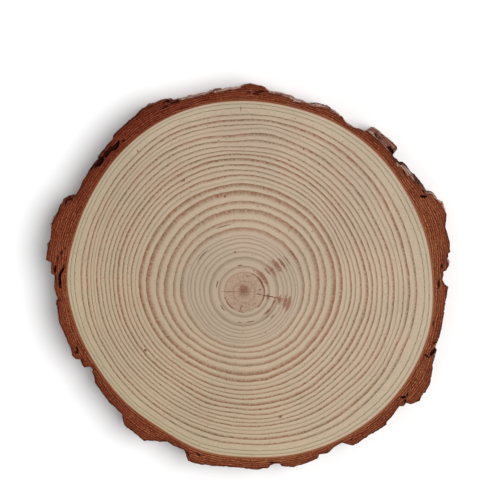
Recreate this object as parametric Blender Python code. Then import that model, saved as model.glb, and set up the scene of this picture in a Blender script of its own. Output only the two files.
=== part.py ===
"""Wood slice: a disc sawn across a pine trunk, with its own bark round it.

It lies on its flat base, +Z up, with its origin under the middle of its box. Azimuths are in
degrees, counted from +X towards +Y round the trunk's centre. Sizes here are in millimetres and
become metres where an object is made.
"""
import math

import bpy
import numpy as np

MM = 0.001
TURN = 360.0

THICKNESS = 10.0
# Where the middle of the trunk's outline stands from the middle of the slice's box.
TRUNK_CENTRE = (0.370, 0.018)

# Radius of the wood, without bark, at even steps of azimuth.
WOOD_RADII = (
    49.5, 48.9, 48.3, 48.2, 47.9, 47.5, 47.7, 48.1, 48.3, 48.1, 47.8, 48.1,
    48.9, 48.3, 47.5, 47.4, 47.3, 48.5, 48.6, 49.4, 50.1, 50.7, 50.8, 50.6,
)
WOOD_STEP = 2.0
# Clearance between the wood and the bark, where the cambium was.
CAMBIUM_GAP = 0.3

# One row for each plate of bark on the cut face: its first and last azimuth, then its
# depth from the wood's edge at even steps between them. The short jump from row to row is a
# broken edge or a crack.
BARK_PLATES = (
    (0.0, 2.2, 2.8, 3.0),
    (2.5, 5.8, 3.8, 4.6, 4.2),
    (6.2, 7.3, 4.8, 5.0),
    (7.6, 14.5, 5.7, 6.1, 6.0),
    (15.0, 21.5, 6.1, 7.1, 7.4),
    (22.0, 24.8, 6.8, 6.1),
    (25.6, 31.0, 4.5, 4.2, 3.7),
    (31.4, 36.5, 3.7, 3.3),
    (37.0, 40.3, 2.5, 2.4),
    (41.0, 51.5, 2.8, 2.7),
    (52.0, 60.5, 2.1, 1.8, 2.1),
    (61.0, 75.5, 2.6, 3.3, 2.5, 2.2),
    (76.0, 83.5, 2.6, 3.2, 3.1),
    (84.0, 92.0, 3.6, 4.6, 4.8, 4.4),
    (92.5, 110.0, 3.9, 3.4, 3.5),
    (110.5, 113.8, 3.6, 4.0),
    (114.2, 133.3, 4.7, 5.4, 4.9, 4.8),
    (134.2, 140.8, 4.1, 4.2, 4.0),
    (141.5, 154.6, 3.5, 4.0, 3.7, 3.9),
    (155.2, 156.4, 5.2, 6.1),
    (156.8, 168.0, 6.4, 6.3, 6.8, 6.2),
    (168.5, 175.0, 6.2, 6.5, 6.3),
    (175.5, 178.8, 4.8, 4.6),
    (179.2, 186.8, 3.7, 3.8, 3.1),
    (187.3, 188.1, 3.9, 3.9),
    (188.5, 198.8, 3.7, 4.2, 3.9),
    (199.5, 203.2, 4.1, 4.1),
    (203.7, 205.3, 4.6, 4.1),
    (205.9, 208.7, 3.2, 3.2),
    (209.4, 210.6, 1.5, 1.4),
    (211.5, 213.9, 2.0, 2.8),
    (214.3, 227.3, 3.1, 3.1),
    (228.0, 229.8, 3.7, 4.9),
    (230.2, 237.6, 5.0, 5.0, 5.4),
    (238.4, 243.2, 4.7, 3.7, 2.5),
    (243.8, 249.6, 2.2, 1.8),
    (250.3, 251.4, 2.4, 3.7),
    (252.0, 268.8, 4.2, 3.6, 3.0, 2.9),
    (269.5, 276.0, 3.1, 3.4, 3.0),
    (277.0, 279.5, 2.1, 1.8, 2.0),
    (280.2, 291.3, 3.0, 3.5, 3.0, 2.5),
    (292.0, 299.8, 1.7, 2.2, 1.4, 1.4),
    (300.8, 302.0, 2.2, 3.2),
    (302.5, 313.4, 3.2, 3.1, 3.8),
    (314.0, 319.8, 3.4, 2.8),
    (320.6, 321.8, 3.7, 3.6),
    (322.3, 326.8, 5.0, 6.0, 5.5),
    (327.2, 335.0, 6.0, 6.1, 5.2, 4.3),
    (335.6, 339.3, 4.2, 3.7),
    (340.0, 357.8, 3.0, 3.1, 3.2, 4.0),
    (358.4, 359.7, 3.0, 2.8),
)
# How far the bark's foot stands out beyond its cut face, by azimuth.
BARK_FLARE = (
    (0.0, -0.1), (24.0, 0.2), (27.0, 0.8), (35.5, 1.2), (36.5, 1.0), (40.5, 1.0),
    (53.0, 0.0), (63.0, -0.4), (70.0, 0.1), (80.0, -0.4), (90.0, -0.2), (98.0, 0.4),
    (112.0, -0.2), (200.0, 0.3), (300.0, 0.2), (330.0, -0.2),
)
FLARE_DEPTH = 6.0

# One thick scale that stands off the side with its top below the saw cut.
SCALE_EDGES = (40.9, 51.6)
SCALE_THICKNESS = (5.0, 4.3)
SCALE_TOP_DROP = (1.0, 2.2)

# Heights at which the outer side of the bark is shaped, and the widest step round it.
WALL_HEIGHTS = (10.0, 9.3, 8.2, 7.0, 5.7, 4.4, 3.1, 1.8, 0.8, 0.0)
COLUMN_STEP = 1.2
CLOSEST_COLUMNS = 0.28

# Scales that have come off the outer side, and left shallow pockets.
SHED_SEED = 27
SHED_COUNT = 95
SHED_HALF_WIDTH = (2.0, 7.5)
SHED_HALF_HEIGHT = (1.2, 4.2)
SHED_DEPTH = (0.35, 0.9)
SHED_LIMITS = (-1.6, 0.25)
LEAST_THICKNESS = 1.2
# The cracks between plates wander sideways by this much between the two cut faces.
CRACK_WANDER = 1.1

WOOD_LOOK = ((0.45, 0.35, 0.25), 0.62)
BARK_LOOK = ((0.17, 0.05, 0.025), 0.88)


def wood_radius(azimuth):
    """Smooth closed curve through the wood's radii: a Catmull-Rom spline in azimuth."""
    radii = np.array(WOOD_RADII)
    place = np.asarray(azimuth) % TURN / (TURN / len(radii))
    first = place.astype(int)
    along = place - first
    before, start, end, after = (radii[(first + step) % len(radii)] for step in (-1, 0, 1, 2))
    slope = end - before
    bend = 2 * before - 5 * start + 4 * end - after
    twist = 3 * (start - end) + after - before
    return start + 0.5 * along * (slope + along * (bend + along * twist))


def plate_stations():
    """Azimuth and thickness of every station of the plates, in order round the trunk."""
    azimuths = []
    thicknesses = []
    for first, last, *depths in BARK_PLATES:
        azimuths.extend(np.linspace(first, last, len(depths)))
        thicknesses.extend(depths)
    return np.array(azimuths), np.array(thicknesses)


def column_azimuths():
    """The plates' stations, with even steps between those that lie further apart."""
    stations = plate_stations()[0]
    columns = list(stations)
    for start, end in zip(stations, [*stations[1:], stations[0] + TURN]):
        pieces = max(1, math.ceil((end - start) / COLUMN_STEP))
        columns.extend(start + (end - start) * np.arange(1, pieces) / pieces)
    columns = np.sort(np.array(columns) % TURN)
    far_enough = np.diff(columns, append=columns[0] + TURN) >= CLOSEST_COLUMNS
    return columns[far_enough]


def ease(value, low, high):
    """0 below low, 1 above high, with a smooth rise between them."""
    share = np.clip((value - low) / (high - low), 0.0, 1.0)
    return share * share * (3.0 - 2.0 * share)


def shed_depth(azimuth, height):
    """Depth of the pockets that shed scales left: rounded patches that add up where they meet."""
    rng = np.random.default_rng(SHED_SEED)
    depth = np.zeros(np.broadcast(azimuth, height).shape)
    for _ in range(SHED_COUNT):
        middle = rng.uniform(0.0, TURN)
        level = rng.uniform(-1.0, THICKNESS + 1.0)
        half_width = rng.uniform(*SHED_HALF_WIDTH)
        half_height = rng.uniform(*SHED_HALF_HEIGHT)
        across = (azimuth - middle + TURN / 2) % TURN - TURN / 2
        reach = (across / half_width) ** 4 + ((height - level) / half_height) ** 4
        depth += rng.uniform(*SHED_DEPTH) * (1.0 - ease(reach, 0.6, 1.2))
    return depth


def bark_thickness(azimuth, height):
    """Depth of the bark from the wood's edge: plates, their flare, pockets and the low scale."""
    below = THICKNESS - height
    plates = np.interp(azimuth, *plate_stations(), period=TURN)
    flare_at, flare = np.transpose(BARK_FLARE)
    foot = np.interp(azimuth, flare_at, flare, period=TURN) * ease(below, 0.0, FLARE_DEPTH)
    pockets = shed_depth(azimuth, THICKNESS) - shed_depth(azimuth, height)
    thickness = np.maximum(plates + foot + np.clip(pockets, *SHED_LIMITS), LEAST_THICKNESS)
    in_scale = (azimuth >= SCALE_EDGES[0]) & (azimuth <= SCALE_EDGES[1])
    scale = np.interp(azimuth, SCALE_EDGES, SCALE_THICKNESS) * ease(below, *SCALE_TOP_DROP)
    return np.where(in_scale, np.maximum(thickness, scale), thickness)


def crack_wander(azimuth, height):
    """Sideways drift of the cracks below the cut face, as a sum of two waves round the trunk."""
    turn = np.radians(azimuth)
    drift = np.sin(5 * turn) + 0.6 * np.sin(11 * turn)
    return CRACK_WANDER * drift * ((THICKNESS - height) / THICKNESS)


def new_material(name, look):
    """Principled material with one colour and roughness."""
    material = bpy.data.materials.new(name)
    material.use_nodes = True
    shader = material.node_tree.nodes["Principled BSDF"]
    colour, roughness = look
    shader.inputs["Base Color"].default_value = (*colour, 1.0)
    shader.inputs["Roughness"].default_value = roughness
    shader.inputs["Metallic"].default_value = 0.0
    return material


def add_wood(collection, trunk):
    """The wood: its closed outline, filled and extruded to the slice's thickness."""
    azimuth = np.arange(0.0, TURN, WOOD_STEP)
    turn = np.radians(azimuth)
    radius = wood_radius(azimuth) * MM
    curve = bpy.data.curves.new("wood", "CURVE")
    curve.dimensions = "2D"
    curve.fill_mode = "BOTH"
    curve.extrude = THICKNESS / 2 * MM
    outline = curve.splines.new("POLY")
    outline.points.add(len(azimuth) - 1)
    ones = np.ones_like(radius)
    points = np.stack([radius * np.cos(turn), radius * np.sin(turn), 0 * ones, ones], axis=1)
    outline.points.foreach_set("co", points.ravel())
    outline.use_cyclic_u = True
    curve.materials.append(new_material("sawn_wood", WOOD_LOOK))
    wood = bpy.data.objects.new("wood", curve)
    wood.location = (0.0, 0.0, THICKNESS / 2 * MM)
    wood.parent = trunk
    collection.objects.link(wood)


def add_bark(collection, trunk):
    """The bark: a closed ring lofted through one upright section at each column."""
    columns = column_azimuths()[:, None]
    heights = np.array(WALL_HEIGHTS)[None, :]
    outer_azimuth = columns + crack_wander(columns, heights)
    outer_radius = wood_radius(outer_azimuth) + bark_thickness(columns, heights)
    inner_azimuth = np.repeat(columns, 2, axis=1)
    inner_radius = wood_radius(inner_azimuth) + CAMBIUM_GAP
    azimuth = np.radians(np.hstack([inner_azimuth[:, :1], outer_azimuth, inner_azimuth[:, 1:]]))
    radius = np.hstack([inner_radius[:, :1], outer_radius, inner_radius[:, 1:]])
    height = np.broadcast_to([THICKNESS, *WALL_HEIGHTS, 0.0], radius.shape)
    points = np.stack([radius * np.cos(azimuth), radius * np.sin(azimuth), height], axis=2) * MM

    sections, corners = radius.shape
    number = np.arange(sections * corners).reshape(sections, corners)
    next_section = np.roll(number, -1, axis=0)
    faces = np.stack([
        number,
        np.roll(number, -1, axis=1),
        np.roll(next_section, -1, axis=1),
        next_section,
    ], axis=2).reshape(-1, 4)

    mesh = bpy.data.meshes.new("bark")
    mesh.from_pydata(points.reshape(-1, 3).tolist(), [], faces.tolist())
    mesh.validate()
    mesh.materials.append(new_material("pine_bark", BARK_LOOK))
    bark = bpy.data.objects.new("bark", mesh)
    bark.parent = trunk
    collection.objects.link(bark)


def main():
    for obj in list(bpy.data.objects):
        bpy.data.objects.remove(obj, do_unlink=True)
    collection = bpy.data.collections.new("wood_slice")
    bpy.context.scene.collection.children.link(collection)
    trunk = bpy.data.objects.new("trunk_axis", None)
    trunk.location = (TRUNK_CENTRE[0] * MM, TRUNK_CENTRE[1] * MM, 0.0)
    collection.objects.link(trunk)
    add_wood(collection, trunk)
    add_bark(collection, trunk)


main()
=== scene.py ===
"""Looks of a wood slice: its sawn faces with their growth rings, and the bark round them.

Laid out as a Blender add-on and run as a script. The outlines come from the loaded frame. Sizes
are in millimetres in the tables below and in metres in the scene. Azimuths are in degrees from
+X towards +Y: about the pith for the wood, and about the middle of the trunk for the bark.
"""
import math

import bpy
import numpy as np
from mathutils import Matrix, Vector


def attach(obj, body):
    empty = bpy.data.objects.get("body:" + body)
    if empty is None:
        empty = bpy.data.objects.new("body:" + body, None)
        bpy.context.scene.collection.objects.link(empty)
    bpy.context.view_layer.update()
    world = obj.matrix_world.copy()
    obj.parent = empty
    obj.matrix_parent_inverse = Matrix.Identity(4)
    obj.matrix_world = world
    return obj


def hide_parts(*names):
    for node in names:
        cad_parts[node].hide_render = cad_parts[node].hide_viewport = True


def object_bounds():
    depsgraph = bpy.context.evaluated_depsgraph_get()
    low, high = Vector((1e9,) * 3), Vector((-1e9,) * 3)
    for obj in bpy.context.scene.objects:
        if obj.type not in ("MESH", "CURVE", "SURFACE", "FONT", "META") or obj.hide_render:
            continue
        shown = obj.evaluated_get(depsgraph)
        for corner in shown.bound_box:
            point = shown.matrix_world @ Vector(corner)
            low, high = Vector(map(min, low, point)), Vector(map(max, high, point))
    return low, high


bl_info = {
    "name": "Wood Slice",
    "version": (1, 0, 0),
    "blender": (4, 5, 0),
    "location": "View3D > Sidebar > Wood Slice",
    "description": "Sawn faces, growth rings and bark of a slice of pine",
    "category": "Add Mesh",
}

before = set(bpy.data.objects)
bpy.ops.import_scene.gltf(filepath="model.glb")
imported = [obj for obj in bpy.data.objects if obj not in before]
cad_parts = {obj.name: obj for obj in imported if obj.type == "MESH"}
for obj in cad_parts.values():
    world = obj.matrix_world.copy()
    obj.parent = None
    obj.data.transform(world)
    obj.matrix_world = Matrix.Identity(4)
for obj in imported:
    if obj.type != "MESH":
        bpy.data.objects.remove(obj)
CAD_BOX = [list(corner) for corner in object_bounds()]

MM = 0.001
TURN = 360.0
THICKNESS = (CAD_BOX[1][2] - CAD_BOX[0][2]) / MM
SHARP_ANGLE = math.radians(38.0)

# Stage: half the floor's side in metres, the way to the soft light and the angle that it covers,
# the point of the upper face in the middle of the picture, and the lens in millimetres.
FLOOR_REACH = 3.0
KEY_DIRECTION = (0.54, 0.04, 0.84)
KEY_ANGLE = math.radians(46.0)
VIEW_CENTRE = (0.88, 7.72)
LENS = 200.0

# Middle of the trunk's outline and the pith, which grew off centre.
TRUNK_CENTRE = np.array((0.37, 0.018))
PITH = TRUNK_CENTRE + np.array((-1.08, -3.65))

# Growth fronts: the year, then the distance from the pith every 30 degrees of azimuth. The last
# front is the wood's own outline.
GROWTH_FRONTS = (
    (3, (9.5, 9.6, 9.7, 9.7, 9.7, 9.7, 9.6, 9.5, 9.4, 9.4, 9.4, 9.5)),
    (8, (14.7, 14.8, 15.1, 15.4, 15.5, 15.9, 15.3, 14.6, 14.3, 14.0, 13.9, 14.0)),
    (11, (20.3, 21.7, 22.4, 22.7, 22.4, 21.9, 21.7, 20.3, 18.8, 18.5, 18.8, 19.4)),
    (14, (26.6, 27.4, 28.5, 29.3, 29.3, 29.0, 28.4, 26.3, 24.6, 24.6, 24.6, 25.2)),
    (19, (33.5, 33.2, 34.6, 36.2, 36.3, 35.2, 34.4, 32.1, 30.2, 30.9, 31.6, 32.1)),
    (24, (40.7, 40.5, 42.0, 42.9, 43.1, 41.4, 40.1, 37.4, 36.2, 36.7, 38.1, 39.7)),
    (27, (44.7, 45.1, 46.6, 46.7, 46.7, 44.1, 42.9, 40.2, 39.3, 40.2, 42.1, 43.6)),
)
# One row for each year: where the ring ends between its two fronts, the share of the ring that
# is dark late wood, how dark it is, and how red it is (0 olive, 1 red-brown).
RINGS = (
    (0.57, 0.10, 0.76, 0.90),
    (0.74, 0.70, 0.61, 0.60),
    (1.00, 0.62, 0.57, 0.25),
    (0.25, 0.60, 0.48, 0.30),
    (0.44, 0.60, 0.51, 0.30),
    (0.67, 0.52, 0.57, 0.30),
    (0.86, 0.55, 0.57, 0.30),
    (1.00, 0.65, 0.51, 0.30),
    (0.31, 0.78, 0.76, 0.60),
    (0.61, 0.62, 0.71, 0.60),
    (1.00, 0.74, 0.86, 0.85),
    (0.30, 0.70, 0.82, 0.75),
    (0.71, 0.72, 0.97, 1.00),
    (1.00, 0.80, 1.00, 1.00),
    (0.175, 0.60, 0.50, 0.30),
    (0.37, 0.66, 0.97, 0.75),
    (0.56, 0.60, 0.78, 0.60),
    (0.76, 0.62, 0.97, 0.75),
    (1.00, 0.72, 1.00, 0.85),
    (0.19, 0.68, 0.97, 0.75),
    (0.37, 0.60, 0.86, 0.65),
    (0.57, 0.56, 0.86, 0.50),
    (0.79, 0.56, 0.84, 0.50),
    (1.00, 0.68, 0.95, 0.60),
    (0.305, 0.58, 0.49, 0.15),
    (0.61, 0.54, 0.86, 0.45),
    (1.00, 0.72, 0.97, 0.65),
    (0.305, 0.54, 0.86, 0.40),
    (0.65, 0.24, 0.86, 0.00),
    (0.865, 0.46, 0.63, 0.00),
    (1.00, 0.10, 0.22, 0.40),
)
YEARS = len(RINGS)

# A sharp fold in the rings: azimuth, half width, its reach along the radius, and its height.
RING_FOLD = (229.0, 1.6, (20.0, 34.0), 0.26)
# Bumps that neighbouring rings share: azimuth and half width, year and half its years, height.
RING_BUMPS = (
    (14.0, 9.0, 26.3, 2.0, -0.30), (41.0, 9.0, 25.6, 2.3, 0.36), (52.0, 5.0, 24.6, 1.2, -0.22),
    (82.0, 6.5, 24.8, 1.5, 0.72), (88.0, 12.0, 21.6, 1.2, -0.38), (95.0, 7.0, 23.0, 1.6, -0.60),
    (94.0, 8.0, 28.0, 1.5, -0.22), (104.0, 8.0, 15.1, 1.0, -0.72), (62.0, 28.0, 21.8, 1.3, -0.30),
    (123.0, 7.0, 20.8, 1.0, -0.30), (158.0, 14.0, 18.5, 4.0, 0.34), (133.0, 14.0, 16.6, 1.2, 0.30),
    (173.0, 7.0, 26.0, 2.0, -0.25), (128.0, 8.0, 26.8, 1.4, -0.38), (152.0, 9.0, 26.0, 1.0, 0.28),
    (181.0, 7.0, 24.0, 4.5, -0.36), (198.0, 8.0, 25.5, 2.0, 0.25), (212.0, 5.0, 27.0, 1.2, 0.25),
    (250.0, 9.0, 20.3, 2.0, 0.62), (247.0, 10.0, 16.2, 1.2, 0.40), (281.0, 9.0, 21.3, 1.7, 0.58),
    (250.0, 60.0, 21.7, 1.4, 0.32), (315.0, 10.0, 23.5, 3.0, -0.50), (334.0, 11.0, 22.3, 1.6, 0.36),
    (340.0, 6.0, 26.8, 1.4, -0.44), (256.0, 10.0, 27.5, 1.0, 0.20), (303.0, 12.0, 28.0, 0.9, 0.20),
    (5.0, 55.0, 17.2, 1.1, -0.30), (10.0, 12.0, 15.2, 0.9, -0.15), (45.0, 20.0, 14.3, 1.2, 0.20),
)
# Azimuth opposite to the seam of the marks' polar coordinates; no mark lies on the seam.
POLAR_START = 15.0
# Share of each ring at which the wood's grid has a row of points, on the upper and lower face
# and in the first year.
UPPER_ROWS = (0.0, 0.5, 0.8, 0.95)
LOWER_ROWS = (0.0, 0.75)
PITH_ROWS = (0.06, 0.12, 0.2, 0.32, 0.46, 0.62, 0.8, 0.95)
WOOD_COLUMNS = 480
# How far the pith has shrunk below the sawn face, at its very middle and round it, and the
# distances between which the face rises from there.
POLE_HOLLOW = 0.2
PITH_HOLLOW = 0.18
PITH_SLOPE = (0.3, 1.5)
# Heights of the slow and the quick waves in the rings.
RING_WAVES = (0.13, 0.045)

# Small marks in the wood: azimuth, distance from the pith, half length round the ring and half
# length along the radius.
DARK_MARKS = (
    (67.5, 41.6, 0.16, 0.14), (71.0, 37.4, 0.35, 0.10), (42.0, 24.6, 0.17, 0.17),
    (54.0, 20.5, 0.16, 0.14), (81.0, 23.4, 0.15, 0.13), (101.3, 26.3, 0.25, 0.25),
    (118.5, 34.2, 0.36, 0.20), (127.0, 47.5, 0.12, 0.35), (91.0, 49.3, 0.09, 0.60),
    (99.5, 41.3, 0.14, 0.12), (210.8, 31.1, 0.32, 0.30), (286.2, 35.2, 0.34, 0.28),
    (224.0, 21.5, 0.15, 0.13), (298.0, 12.4, 0.14, 0.13), (57.0, 48.3, 0.13, 0.12),
    (73.7, 48.6, 0.14, 0.11), (107.5, 18.6, 1.60, 0.11), (138.0, 15.0, 1.70, 0.11),
    (102.5, 11.1, 0.28, 0.17), (99.0, 7.3, 0.50, 0.13), (65.0, 6.3, 0.14, 0.13),
    (163.5, 7.6, 0.85, 0.14), (216.5, 7.3, 0.70, 0.12), (281.0, 8.2, 0.95, 0.11),
    (262.0, 8.3, 0.40, 0.10), (179.0, 3.3, 0.07, 2.00), (258.0, 4.6, 0.09, 0.80),
    (262.0, 3.9, 0.30, 0.13), (352.0, 4.1, 0.12, 0.55), (8.0, 4.2, 0.14, 0.35),
    (78.0, 4.4, 0.45, 0.10), (35.0, 5.45, 1.60, 0.16), (8.0, 5.5, 1.20, 0.14),
    (345.0, 5.5, 1.20, 0.14), (320.0, 5.5, 0.90, 0.12), (222.0, 5.4, 1.50, 0.13),
    (195.5, 5.4, 0.50, 0.10), (262.0, 5.5, 0.80, 0.09), (60.0, 5.4, 0.70, 0.09),
    (350.5, 6.4, 0.13, 1.20), (343.0, 8.6, 0.50, 0.12), (318.0, 8.1, 1.10, 0.13),
    (313.0, 9.2, 0.60, 0.10), (319.0, 10.1, 0.60, 0.12),
)
# Short dashes of resin along the rings, in two rows that lead away from the pith.
RED_STAINS = (
    (38.8, 6.5, 2.00, 0.50), (42.5, 8.4, 1.00, 0.22), (38.1, 9.65, 1.40, 0.34),
    (39.5, 11.4, 1.70, 0.52), (37.3, 12.9, 1.50, 0.34), (37.0, 14.4, 1.10, 0.16),
    (36.0, 16.7, 1.40, 0.22), (350.3, 8.0, 0.16, 2.80), (346.5, 11.4, 1.50, 0.40),
    (345.0, 12.4, 1.60, 0.46), (347.5, 9.8, 1.00, 0.36), (349.0, 6.6, 0.60, 0.40),
    (331.0, 8.4, 2.40, 0.18), (30.0, 5.3, 1.30, 0.25),
)

# Where the soft edge of a mark lies, in its own half lengths.
MARK_REACH = 1.25
# Radius of the circle on which the noise of layers is read, for layers of one millimetre.
LAYER_TURN = 50.0

# The grid of the bark: columns round the trunk, and rows on the cut face, the side and below.
BARK_COLUMNS = 1440
CUT_ROWS = 22
WALL_ROWS = 34
UNDER_ROWS = 8
# Room left between wood and bark, and the least depth of bark in the scene and in the CAD node.
WOOD_GAP = 0.02
LEAST_BARK = 0.6
LEAST_CAD_BARK = 0.8
LARGEST_DEPTH = 8.0
# Depth of the upright cracks, of the chips out of the upper edge and of its worn stretches, then
# the roughness of the outer side and of the cut face.
CRACK_DEPTH = 0.45
CHIP_DEPTH = 0.5
WORN_DEPTH = 0.8
SIDE_ROUGHNESS = 0.035
CUT_ROUGHNESS = 0.05
# Number of layers of scales, and the distance from a sawn face within which their steps fade.
SCALE_LAYERS = 7
SCALE_FADE = 1.4
# Shade of the outermost scales, which a worn edge shows too.
BLEACHED = 1.05
# Where a low scale's top lies: how far the side runs outwards for each millimetre down, and its
# height.
LEDGE_SLOPE = (0.35, 1.05)
LEDGE_HEIGHT = (6.0, 7.5)
# A pit of this depth is fully dark with painted shade.
FULL_SHADE_PIT_DEPTH = 0.6
# Brightness of the cut bark every 45 degrees of azimuth.
BARK_TONES = (1.10, 1.00, 0.88, 0.72, 0.98, 0.92, 1.13, 1.03)
# Azimuths between which the bark's upper edge is worn back to its pale outer side, and how far.
WORN_EDGES = (
    (18.0, 28.0, 0.5), (30.0, 40.0, 0.9), (54.0, 60.0, 0.9), (60.0, 84.0, 1.2),
    (83.0, 90.0, 0.3), (90.0, 102.0, 1.0), (100.0, 113.0, 0.9), (334.0, 342.0, 1.1),
    (346.0, 350.0, 0.4),
)
# Pits and short cracks in the bark's cut face, darkened by painted shade: azimuth, distance from
# the middle of the trunk, half length round the ring, half length along the radius, turn and depth.
BARK_PITS = (
    (25.3, 51.9, 0.30, 0.90, 25.0, 1.2), (26.8, 52.6, 0.80, 0.25, 0.0, 0.8),
    (34.5, 50.6, 0.90, 0.22, 8.0, 0.6), (42.0, 51.5, 1.50, 0.42, 0.0, 1.3),
    (47.8, 51.3, 1.80, 0.24, 0.0, 1.0), (82.5, 50.2, 1.30, 0.20, 0.0, 0.5),
    (86.3, 50.3, 1.40, 0.24, -8.0, 0.7), (87.8, 49.6, 0.90, 0.20, 6.0, 0.6),
    (90.2, 50.1, 0.70, 0.20, 10.0, 0.5), (100.0, 51.4, 3.40, 0.17, -3.0, 0.8),
    (111.3, 51.6, 0.40, 0.85, 30.0, 1.0), (114.0, 52.4, 1.90, 0.32, 0.0, 1.1),
    (112.8, 51.3, 1.20, 0.24, 12.0, 1.0), (116.0, 51.2, 1.30, 0.20, -6.0, 0.7),
    (109.8, 52.1, 0.80, 0.20, 0.0, 0.6), (132.2, 50.0, 0.50, 0.28, 15.0, 0.9),
    (134.9, 50.4, 1.50, 0.70, -6.0, 1.5), (138.3, 50.8, 2.30, 0.60, -4.0, 1.5),
    (141.9, 50.9, 2.00, 0.75, 4.0, 1.8), (139.4, 52.0, 1.80, 0.18, 0.0, 0.8),
    (144.6, 51.6, 1.30, 0.40, -6.0, 1.2),
    (156.0, 52.4, 0.35, 0.90, -30.0, 0.9), (157.0, 53.2, 1.00, 0.35, 0.0, 0.9),
    (155.9, 53.1, 1.20, 0.80, 10.0, 0.6),
    (170.9, 50.1, 0.40, 0.20, 20.0, 0.6), (172.3, 50.9, 0.50, 0.25, 20.0, 0.8),
    (174.2, 51.8, 0.55, 0.20, 10.0, 0.7), (176.2, 50.0, 0.35, 0.18, 30.0, 0.6),
    (178.0, 50.5, 1.15, 0.28, 28.0, 1.4), (180.5, 50.95, 1.60, 0.44, 0.0, 1.6),
    (182.6, 51.0, 0.60, 0.28, 0.0, 0.9), (177.4, 52.3, 1.00, 0.30, 4.0, 1.1),
    (202.6, 50.3, 0.80, 0.25, -10.0, 0.8), (203.6, 50.9, 0.35, 0.55, 25.0, 0.8),
    (214.0, 50.2, 0.80, 0.15, 0.0, 0.4), (250.6, 50.5, 0.24, 0.70, 35.0, 0.7),
    (251.2, 50.7, 0.24, 0.65, -40.0, 0.7), (254.0, 49.8, 0.80, 0.35, 18.0, 0.8),
    (277.3, 50.5, 0.70, 0.22, 0.0, 0.6), (302.5, 51.8, 0.50, 0.22, 0.0, 0.5),
    (322.5, 52.7, 0.95, 0.28, 52.0, 1.2), (322.0, 53.7, 0.80, 0.22, -38.0, 1.1),
    (323.9, 53.2, 0.50, 0.22, -20.0, 0.8),
    (336.6, 52.4, 0.20, 0.75, 10.0, 0.9), (338.2, 53.5, 1.00, 0.55, 0.0, 1.4),
    (339.6, 54.1, 1.10, 0.40, 0.0, 1.0), (341.0, 53.0, 0.50, 0.20, 20.0, 0.7),
    (346.5, 51.2, 0.90, 0.16, 0.0, 0.5), (358.4, 51.2, 1.10, 0.22, 0.0, 0.7),
    (4.0, 52.1, 0.80, 0.20, 10.0, 0.7), (12.0, 50.8, 0.90, 0.15, 0.0, 0.4),
)


def colour_property(name, description, default):
    """Colour setting, given as linear red, green and blue."""
    return bpy.props.FloatVectorProperty(
        name=name, description=description, subtype="COLOR", size=4, min=0.0, max=1.0,
        default=(*default, 1.0))


class SawnWoodSettings(bpy.types.PropertyGroup):
    """Colours and relief of the wood."""

    early_inner: colour_property(
        "Early wood near the pith", "Pale wood of the first years", (0.429, 0.331, 0.243))
    early_outer: colour_property(
        "Early wood near the bark", "Pale wood of the last years", (0.453, 0.347, 0.247))
    late_olive: colour_property(
        "Late wood, olive", "Dark part of a ring with little resin", (0.125, 0.098, 0.042))
    late_red: colour_property(
        "Late wood, red", "Dark part of a ring with much resin", (0.222, 0.093, 0.042))
    ridge: bpy.props.FloatProperty(
        name="Ridge of the late wood", description="How far sanding leaves it proud",
        unit="LENGTH", default=0.02 * MM, min=0.0, max=0.5 * MM, precision=5)


class PineBarkSettings(bpy.types.PropertyGroup):
    """Colours and relief of the bark."""

    cut: colour_property(
        "Cut bark", "Main colour of the sawn edge of the bark", (0.168, 0.034, 0.012))
    inner: colour_property(
        "Inner bark", "Narrow living layer next to the wood", (0.27, 0.10, 0.045))
    weathered: colour_property(
        "Weathered scales", "Outer side of the oldest scales", (0.34, 0.20, 0.16))
    scale_step: bpy.props.FloatProperty(
        name="Thickness of a scale", description="Height of each step on the outer side",
        unit="LENGTH", default=0.2 * MM, min=0.0, max=1.0 * MM, precision=5)


class StageSettings(bpy.types.PropertyGroup):
    """Floor, light and camera."""

    tilt: bpy.props.FloatProperty(
        name="Camera tilt", description="Angle between the view and straight down",
        subtype="ANGLE", unit="ROTATION", default=math.radians(5.0), min=0.0, max=1.5)
    tilt_azimuth: bpy.props.FloatProperty(
        name="Camera side", description="Azimuth that the camera is moved towards",
        subtype="ANGLE", unit="ROTATION", default=math.radians(65.0), min=0.0, max=6.3)
    distance: bpy.props.FloatProperty(
        name="Camera distance", description="From the upper face to the camera",
        unit="LENGTH", default=0.6, min=0.1, max=5.0)
    view_width: bpy.props.FloatProperty(
        name="Width in view", description="Width of the picture at the upper face",
        unit="LENGTH", default=0.1345, min=0.05, max=1.0)
    key_strength: bpy.props.FloatProperty(
        name="Key light", description="Strength of the soft light from the right",
        default=2.5, min=0.0, max=100.0)
    sky: bpy.props.FloatProperty(
        name="Sky light", description="Strength of the even white light",
        default=0.51, min=0.0, max=10.0)


def periodic_curve(values, azimuth):
    """Closed Catmull-Rom curve through values at even steps of azimuth."""
    values = np.asarray(values, float)
    place = np.asarray(azimuth) % TURN / (TURN / len(values))
    first = place.astype(int)
    along = place - first
    before, start, end, after = (values[(first + step) % len(values)] for step in (-1, 0, 1, 2))
    bend = 2 * before - 5 * start + 4 * end - after
    twist = 3 * (start - end) + after - before
    return start + 0.5 * along * (end - before + along * (bend + along * twist))


def ease(value, low, high):
    """0 below low, 1 above high, with a smooth rise between them."""
    share = np.clip((value - low) / (high - low), 0.0, 1.0)
    return share * share * (3.0 - 2.0 * share)


def signed_turn(angle):
    """The same angle in degrees, between minus and plus half a turn."""
    return (angle + TURN / 2) % TURN - TURN / 2


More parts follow.
